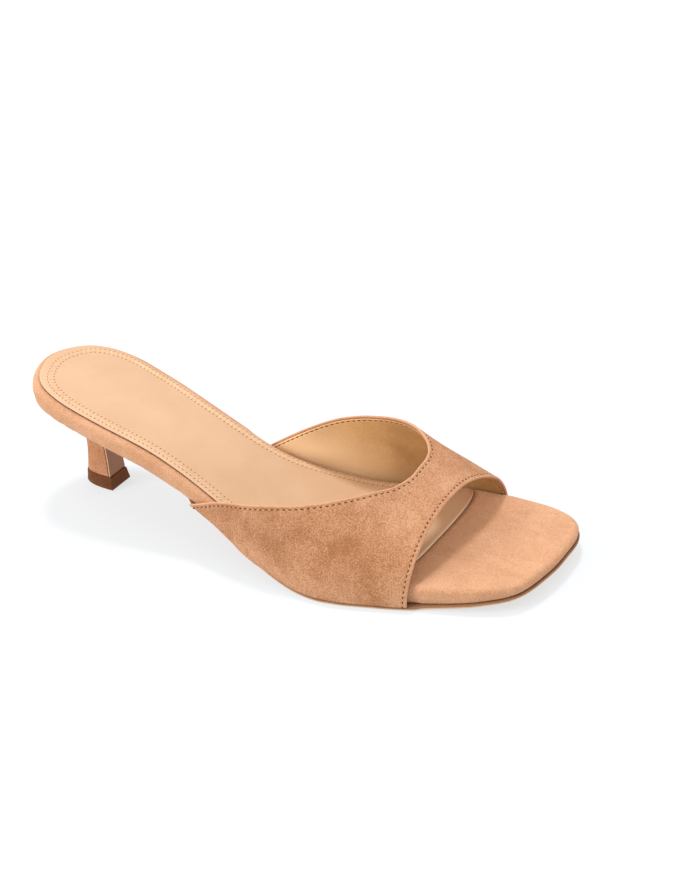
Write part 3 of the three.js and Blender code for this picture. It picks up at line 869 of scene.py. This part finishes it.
GLUE_LAYER = 0.02
LINING_DEPTH = SUEDE_WALL + GLUE_LAYER
LINING_WALL = UPPER_WALL - LINING_DEPTH
LINING_MARGIN = 0.9
suede_grids = vamp_sheet(0, SUEDE_WALL, 0, middle_rows=46, groove_outside=True)
make_piece("vamp_suede", suede_grids, [upper_suede], replaces="upper", sharp=80)
lining_grids = vamp_sheet(
    LINING_DEPTH, LINING_WALL, LINING_MARGIN, middle_rows=30, groove_outside=False)
make_piece("vamp_lining", lining_grids, [lining_leather], replaces="upper",
           sharp=80)


# Stitching of the vamp: threads in a shallow groove, with a dark bead of painted shade for the hole
# at each end of a thread

def stitch_grids(line, normals, pitch, thread, hole):
    """Threads along a line, and dark beads of painted shade for the holes between them."""
    points, tangents, ups = evenly(line, normals, pitch)
    threads = beads(points, tangents, ups, *thread)
    points, tangents, ups = evenly(line, normals, pitch, lead=0.0)
    holes = [(grid, wrap, 1) for grid, wrap, _ in beads(points, tangents, ups, *hole)]
    return threads + holes


# Half length, half width and half height of a thread and of the dark bead of painted shade at a
# hole
THREAD = (0.5, 0.2, 0.12)
HOLE = (0.62, 0.3, 0.13)
REAR_PITCH = 2.45
FRONT_PITCH = 2.1
THREAD_RISE = 0.05
vamp_stitches = []
for from_front, pitch in ((False, REAR_PITCH), (True, FRONT_PITCH)):
    line, normals = vamp_at(STITCH_INSET, from_front, THREAD_RISE - STITCH_SINK)
    vamp_stitches += stitch_grids(line, normals, pitch, THREAD, HOLE)
    line, normals = vamp_at(STITCH_INSET, from_front, STITCH_SINK - UPPER_WALL - THREAD_RISE)
    vamp_stitches += stitch_grids(line, -normals, pitch, THREAD, HOLE)
make_piece("vamp_stitching", vamp_stitches, [upper_thread, stitch_hole_shade], sharp=60)


# Stitching of the sock: a ladder of fine stitches inside both edges

LADDER_INSETS = (1.5, 4.2)
LADDER_REAR_INSET = 2.8
LADDER_REAR_REACH = 45
LADDER_PITCH = 2.1
LADDER_STEPS = 1400
LADDER_RISE = 0.02
CROSSING_RISE = 0.03
SOCK_THREAD_WIDTH = 0.18
SOCK_THREAD_HEIGHT = 0.14
SOCK_HOLE = (0.36, 0.3, 0.1)
COUNT_MARGIN = 0.01


def sock_line(inset):
    """Line on top of the sock from near its round end, round the heel and back."""
    places = np.linspace(-SOCK_LAST_PLACE, SOCK_LAST_PLACE, LADDER_STEPS) % LOOP_ROWS
    deeper = LADDER_REAR_INSET * np.clip(1 - outline(places)[:, 0] / LADDER_REAR_REACH, 0, 1) ** 2
    flat = outline(places, SOCK_INSET + inset + deeper)
    slope = sock_top(flat[:, 0] + 0.5) - sock_top(flat[:, 0] - 0.5)
    normals = np.column_stack([-slope, np.zeros(len(slope)), np.ones(len(slope))])
    insets, ups = SOCK_SIDE["inset"][SOCK_FACE_ROW:], SOCK_SIDE["up"][SOCK_FACE_ROW:]
    sunk = SOCK_THICKNESS * (1 - np.interp(inset + deeper, insets, ups))
    return at_height(flat, sock_top(flat[:, 0]) - sunk + LADDER_RISE), normals


outer_line, ladder_normals = sock_line(LADDER_INSETS[0])
outer_points, outer_tangents, ups = evenly(outer_line, ladder_normals, LADDER_PITCH)
inner_line, _ = sock_line(LADDER_INSETS[1])
inner_run = np.linalg.norm(np.diff(inner_line, axis=0), axis=1).sum()
inner_pitch = inner_run / (len(outer_points) + COUNT_MARGIN)
inner_points, inner_tangents, _ = evenly(inner_line, ladder_normals, inner_pitch, lead=1.0)
ladder = []
for start, end in ((outer_points, inner_points), (outer_points[1:], inner_points[:-1])):
    run = end - start
    half_lengths = np.linalg.norm(run, axis=1) / 2
    middles = (start + end) / 2 + ups[:len(run)] * CROSSING_RISE
    for middle, direction, normal, half_length in zip(middles, run, ups, half_lengths):
        ladder += beads(middle[None], direction[None] / (2 * half_length), normal[None],
                        half_length, SOCK_THREAD_WIDTH, SOCK_THREAD_HEIGHT)
# Dark beads of painted shade for the stitch holes along both lines
for points, tangents in ((outer_points, outer_tangents), (inner_points, inner_tangents)):
    ladder += [(grid, wrap, 1) for grid, wrap, _ in beads(points, tangents, ups, *SOCK_HOLE)]
make_piece("sock_stitching", ladder, [sock_thread, sock_hole_shade], sharp=60)


# Outsole, its edge painted dark along the top as the shade of the gap under the footbed

OUTSOLE_POINTS = 721
REAR_STEPS = 24
SHADE_ROW = 3


def outsole_loop(inset, up):
    rear_x = SEAT_LENGTH + GAP
    start = place_at(rear_x)
    places = np.linspace(start, LOOP_ROWS - start, OUTSOLE_POINTS)
    plain = outline(places)
    edge_inset = mix(OUTSOLE_WAIST_INSET, GAP - UPPER_WALL, reach(plain[:, 0]))
    arch = through(OUTSOLE_TUCK, "along", "tuck")(plain[:, 0] / SHOE_LENGTH)
    edge = outline(places, edge_inset + arch + inset)
    edge[[0, -1], 0] = rear_x
    share = np.arange(REAR_STEPS)[:, None] / REAR_STEPS
    rear = mix(edge[-1], edge[0], share)
    half = REAR_STEPS // 2
    return np.concatenate([rear[half:], edge[:-1], rear[:half]])


outsole_rings, outsole_floor, outsole_lid = slab(
    outsole_loop, OUTSOLE_SIDE, outsole_under, outsole_top, floor_strips=30, lid_strips=30)
make_piece("outsole_sheet", [
    (outsole_rings[:SHADE_ROW + 1], True, 0),
    (outsole_rings[SHADE_ROW:], True, 2),
    (outsole_floor, False, 1),
    (outsole_lid, False, 2),
], [outsole_edge, outsole_base, outsole_top_shade], replaces="outsole", sharp=40)


# Heel: a column with a flat front that flares into the cup of the seat

FLAT_STEPS = 10
ROUND_STEPS = 44
COLUMN_RINGS = 22
CUP_RINGS = 33
TIP_TOP = TIP_HEIGHT + GAP


def seat_under(x):
    return footbed_under(x) - GAP


def column_ring(breast, half_width, depth):
    """Flat-fronted ring, from the middle of its front round by the lateral side."""
    flat = half_width * np.arange(FLAT_STEPS) / FLAT_STEPS
    angle = np.linspace(0, np.pi, 2 * ROUND_STEPS + 1)
    swing = np.abs(np.cos(angle)) ** (2 / COLUMN_FULLNESS) * np.sign(np.cos(angle))
    back = np.clip(np.sin(angle), 0, 1) ** (2 / COLUMN_FULLNESS)
    front = np.full(FLAT_STEPS, breast)
    x = np.concatenate([front, breast - depth * back, front[1:]])
    y = np.concatenate([-flat, -half_width * swing, flat[:0:-1]])
    return np.column_stack([x, y])


def seat_ring():
    breast_place = place_at(SEAT_LENGTH)
    places = breast_place * np.linspace(1, 0, ROUND_STEPS + 1)
    lateral = outline(places, SEAT_INSET)
    medial = outline((LOOP_ROWS - places[-2::-1]) % LOOP_ROWS, SEAT_INSET)
    lateral[0, 0] = medial[-1, 0] = SEAT_LENGTH
    middle = (lateral[0] + medial[-1]) / 2
    share = np.arange(FLAT_STEPS)[:, None] / FLAT_STEPS
    return np.concatenate([mix(middle, lateral[0], share), lateral, medial,
                           mix(middle, medial[-1], share)[:0:-1]])


def heel_rings():
    width = through(COLUMN, "up", "width")
    depth = through(COLUMN, "up", "depth")
    rings = []
    for up in np.linspace(0, 1, COLUMN_RINGS):
        ring = column_ring(COLUMN_BREAST, COLUMN_HALF_WIDTH * width(up), COLUMN_DEPTH * depth(up))
        rings.append(at_height(ring, mix(TIP_TOP, COLUMN_TOP, up)))
    top, seat = rings[-1], seat_ring()
    middle_height = seat_under((SEAT_LENGTH + SEAT_INSET) / 2)
    spread = through(CUP, "up", "out")
    for up in np.linspace(0, 1, CUP_RINGS + 1)[1:]:
        out = spread(up)
        ring = mix(top[:, :2], seat, out)
        height = mix(middle_height, seat_under(seat[:, 0]), out)
        rings.append(at_height(ring, mix(COLUMN_TOP, height, up)))
    return np.array(rings)


HEEL_RINGS = heel_rings()
heel_lid = facing_lines(HEEL_RINGS[-1][:, :2], strips=16)
heel_foot = facing_lines(HEEL_RINGS[0][:, :2], strips=8)
make_piece("heel_wrap", [
    (HEEL_RINGS, True, 0),
    (at_height(heel_lid, seat_under(heel_lid[..., 0])), False, 0),
    (at_height(heel_foot, TIP_TOP), False, 0),
], [heel_suede], replaces="heel", sharp=55)


# Smooth cover on the heel's flat front, ending against the outsole. Its sides are painted dark for
# the glued share of its thickness, as painted shade of the gap beside it, and pale beyond.

COVER_PLAY = 0.15
COVER_PLAY_POWER = 6
GAP_SHADE_SHARE = 0.5


def cover_face(gap):
    """Face of the cover at a gap off the heel's front, one line of points for each ring."""
    middle = HEEL_RINGS[:, 0]
    along = np.gradient(middle[:, [0, 2]], axis=0)
    normal = np.column_stack([along[:, 1], np.zeros(len(along)), -along[:, 0]])
    normal[-1] = (0, 0, -1)
    normal /= np.linalg.norm(normal, axis=1, keepdims=True)
    front = np.concatenate([HEEL_RINGS[:, -FLAT_STEPS:], HEEL_RINGS[:, :FLAT_STEPS + 1]], axis=1)
    share = np.linspace(-1, 1, front.shape[1])
    face = front + normal[:, None] * gap
    face[..., 1] -= COVER_PLAY * np.sign(share) * np.abs(share) ** COVER_PLAY_POWER
    return face


cover_outer, cover_inner = cover_face(GAP + BREAST_COVER), cover_face(GAP)
cover_sides = []
for side in (0, -1):
    near, far = cover_inner[:, side], cover_outer[:, side]
    gap_shade_line = mix(near, far, GAP_SHADE_SHARE)
    cover_sides += [(np.stack([near, gap_shade_line]), False, 1), (np.stack([gap_shade_line, far]), False, 2)]
make_piece("breast_cover", [
    (cover_outer, False, 0),
    (cover_inner, False, 0),
    *cover_sides,
    (np.stack([cover_outer[0], cover_inner[0]]), False, 1),
    (np.stack([cover_outer[-1], cover_inner[-1]]), False, 1),
], [cover_leather, cover_gap_shade, cover_trim], replaces="heel_breast_cover", sharp=50)


# Rubber tip that flares to the floor, with worn edges

TIP_SIDE = table("up inset", [
    (0, 0.5), (0.03, 0.2), (0.08, 0.04), (0.16, 0), (0.5, 0.06), (0.86, 0), (0.93, 0.05),
    (0.975, 0.18), (1, 0.45),
])
tip_rings = []
for row in each_row(TIP_SIDE):
    margin = mix(TIP_LIP + TIP_FLARE, TIP_LIP, row["up"]) - row["inset"]
    ring = column_ring(
        COLUMN_BREAST + GAP + BREAST_COVER + margin,
        COLUMN_HALF_WIDTH * COLUMN["width"][0] + margin,
        COLUMN_DEPTH * COLUMN["depth"][0] + GAP + BREAST_COVER + 2 * margin)
    tip_rings.append(at_height(ring, TIP_HEIGHT * row["up"]))
tip_caps = []
for ring in (tip_rings[0], tip_rings[-1]):
    lines = facing_lines(ring[:, :2], strips=8)
    tip_caps.append((at_height(lines, ring[0, 2]), False, 0))
make_piece("tip_block", [(np.array(tip_rings), True, 0), *tip_caps], [tip_rubber],
           replaces="heel_tip", sharp=45)


# Pale floor that glows a little, like a white backdrop

FLOOR_SIZE = 7.0
FLOOR_COLOUR = (0.24, 0.26, 0.285, 1)
FLOOR_GLOW_COLOUR = (0.975, 0.99, 1, 1)
FLOOR_GLOW = 0.65

half_floor = FLOOR_SIZE / 2
floor_corners = [(-half_floor, -half_floor, 0), (half_floor, -half_floor, 0),
                 (half_floor, half_floor, 0), (-half_floor, half_floor, 0)]
floor_mesh = bpy.data.meshes.new("floor")
floor_mesh.from_pydata(floor_corners, [], [(0, 1, 2, 3)])
floor_finish = Finish("floor_paper", roughness=0.9, specular=0.1)
floor_finish.colour(FLOOR_COLOUR)
floor_finish.shader.inputs["Emission Color"].default_value = FLOOR_GLOW_COLOUR
floor_finish.shader.inputs["Emission Strength"].default_value = FLOOR_GLOW
floor_mesh.materials.append(floor_finish.material)
floor = bpy.data.objects.new("floor", floor_mesh)
bpy.context.scene.collection.objects.link(floor)


# The photograph's view

VIEW_AZIMUTH = np.radians(33.5043)
VIEW_ELEVATION = np.radians(29.5389)
VIEW_ROLL = np.radians(-5.3275)
VIEW_DISTANCE = 769.393
VIEW_TARGET = np.array([110.5925, 63.7342, 3.7195])
FOCAL_PIXELS = 1715.258
PICTURE_HEIGHT = 890


def placed(name, data, right, up, back, place):
    """A camera or light at a place, with its own right, up and back directions."""
    added = bpy.data.objects.new(name, data)
    bpy.context.scene.collection.objects.link(added)
    turn = np.identity(4)
    turn[:3, :3] = np.column_stack([right, up, back])
    turn[:3, 3] = place
    added.matrix_world = Matrix(turn.tolist())
    return added


ground_back = np.array([np.sin(VIEW_AZIMUTH), -np.cos(VIEW_AZIMUTH), 0])
ground_right = np.array([np.cos(VIEW_AZIMUTH), np.sin(VIEW_AZIMUTH), 0])
view_back = ground_back * np.cos(VIEW_ELEVATION) + np.array([0, 0, np.sin(VIEW_ELEVATION)])
upright = np.cross(view_back, ground_right)
view_right = ground_right * np.cos(VIEW_ROLL) + upright * np.sin(VIEW_ROLL)
view_up = upright * np.cos(VIEW_ROLL) - ground_right * np.sin(VIEW_ROLL)
view_place = to_frame(VIEW_TARGET + VIEW_DISTANCE * view_back)

camera_data = bpy.data.cameras.new("camera")
camera_data.lens = camera_data.sensor_width * FOCAL_PIXELS / PICTURE_HEIGHT
bpy.context.scene.camera = placed("camera", camera_data, view_right, view_up, view_back, view_place)
bpy.context.scene.view_settings.view_transform = "Standard"


# Light in metres: a key high behind the shoe, a fill beside the camera and a warm room

KEY_LEAN = np.array([-0.2, 0.3, 1.0])
KEY_DISTANCE = 1.6
FILL_LEFT = 1.45
FILL_BACK = 0.4
FILL_HEIGHT = 0.8
WORLD_COLOUR = (1.0, 0.955, 0.88, 1)
WORLD_STRENGTH = 1.07
SCENE_MIDDLE = np.array([0.0, 0.0, 0.03])


def area_light(name, place, size, power, colour):
    data = bpy.data.lights.new(name, "AREA")
    data.shape = "DISK"
    data.size = size
    data.energy = power
    data.color = colour
    back = (place - SCENE_MIDDLE) / np.linalg.norm(place - SCENE_MIDDLE)
    right = np.cross((0, 0, 1), back)
    right /= np.linalg.norm(right)
    placed(name, data, right, np.cross(back, right), back, place)


fill_offset = ground_back * FILL_BACK - ground_right * FILL_LEFT + np.array([0, 0, FILL_HEIGHT])
area_light("key", SCENE_MIDDLE + KEY_LEAN * KEY_DISTANCE,
           size=0.32, power=16.5, colour=(0.96, 1, 1.08))
area_light("fill", SCENE_MIDDLE + fill_offset, size=0.8, power=13, colour=(1, 0.98, 0.95))

world = bpy.data.worlds.new("studio")
world.use_nodes = True
backdrop = world.node_tree.nodes["Background"]
backdrop.inputs["Color"].default_value = WORLD_COLOUR
backdrop.inputs["Strength"].default_value = WORLD_STRENGTH
bpy.context.scene.world = world
